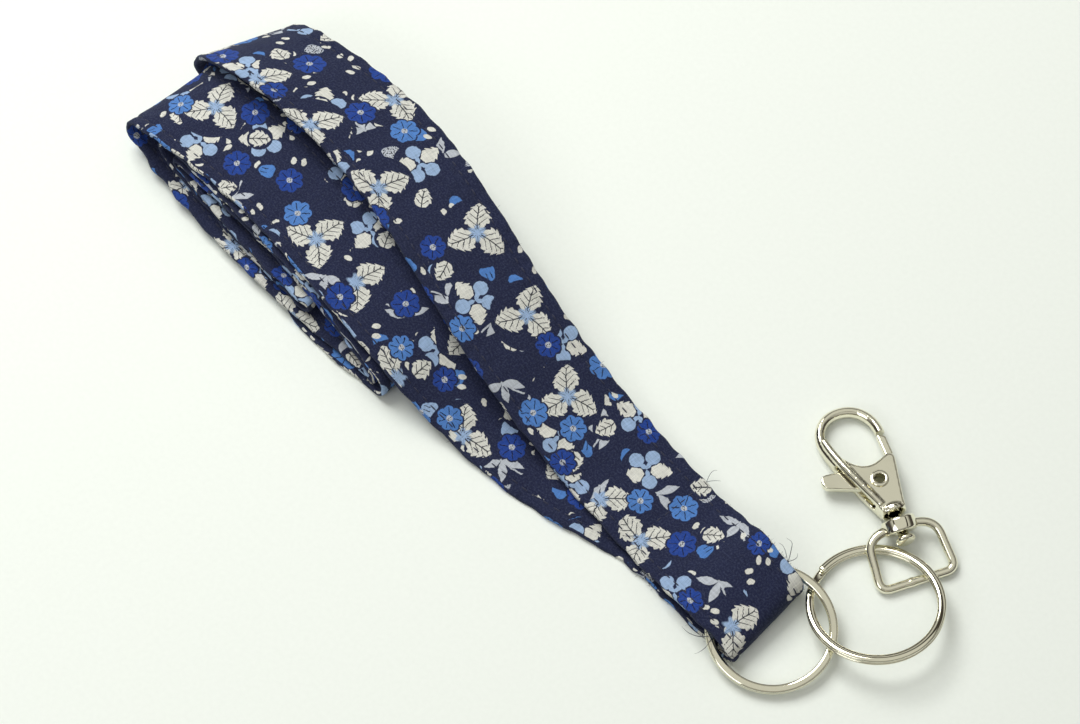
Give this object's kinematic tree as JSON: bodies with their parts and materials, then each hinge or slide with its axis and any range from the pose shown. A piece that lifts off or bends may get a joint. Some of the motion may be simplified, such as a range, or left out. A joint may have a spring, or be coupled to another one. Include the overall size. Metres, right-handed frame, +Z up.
{
  "type": "wristlet keychain",
  "caption": "Fabric key lanyard: a looped printed strap rolled up flat, linked by split rings and a swivel D-ring to a lobster clasp with a sprung gate.",
  "frame": {"origin": "centre of the bounding box's footprint, on the surface the keychain lies on", "axes": "+X along the strap from the roll towards the rings, +Y across the strap towards the clasp, +Z up off the surface"},
  "size_m": [0.2194, 0.087, 0.0214],
  "materials": {
    "cloth": "plain-woven cotton with a floral print",
    "thread": "sewing thread",
    "nickel": "polished nickel plate",
    "spring_steel": "bright drawn wire"
  },
  "bodies": {
    "strap": {"strap_lower_run": "cloth", "strap_roll_inner_lining": "cloth", "strap_roll_outer_lining": "cloth", "strap_ring_fold": "cloth", "strap_upper_run": "cloth", "strap_roll_outer_turn": "cloth", "strap_roll_inner_turn": "cloth", "topstitch_lower_left": "thread", "topstitch_lower_right": "thread", "topstitch_upper_left": "thread", "topstitch_upper_right": "thread", "cross_seam": "thread"},
    "small_ring": {"small_split_ring": "nickel"},
    "large_ring": {"large_split_ring": "nickel"},
    "d_ring": {"swivel_d_ring": "nickel"},
    "hook": {"hook_body": "nickel", "gate_rivet": "nickel", "gate_spring": "spring_steel", "swivel_post": "nickel"},
    "gate": {"gate_lever": "nickel"}
  },
  "joints": [
    {"name": "small_ring_slide_round", "type": "hinge", "parent": "strap", "child": "small_ring", "pos_m": [0.08387, -0.00875, 0.00342], "axis": [0.0873, -0.0844, 0.9926], "range_deg": [-20, 0]},
    {"name": "large_ring_swing", "type": "hinge", "parent": "small_ring", "child": "large_ring", "pos_m": [0.08807, 0.00175, 0.0015], "axis": [0.8873, -0.4612, 0], "range_deg": [0, 60]},
    {"name": "d_ring_slide_round", "type": "hinge", "parent": "large_ring", "child": "d_ring", "pos_m": [0.09447, 0.01235, 0.00418], "axis": [-0.1936, 0.0821, 0.9776], "range_deg": [-120, 15]},
    {"name": "hook_swivel", "type": "hinge", "parent": "d_ring", "child": "hook", "pos_m": [0.08417, 0.02905, 0.00408], "axis": [-0.9283, 0.3638, -0.0768], "continuous": true},
    {"name": "gate_pivot", "type": "hinge", "parent": "hook", "child": "gate", "pos_m": [0.07353, 0.03279, 0.00321], "axis": [-0.0715, 0.028, 0.997], "range_deg": [0, 22], "stiffness_Nm_per_rad": 0.004, "springref_deg": -28.65}
  ]
}
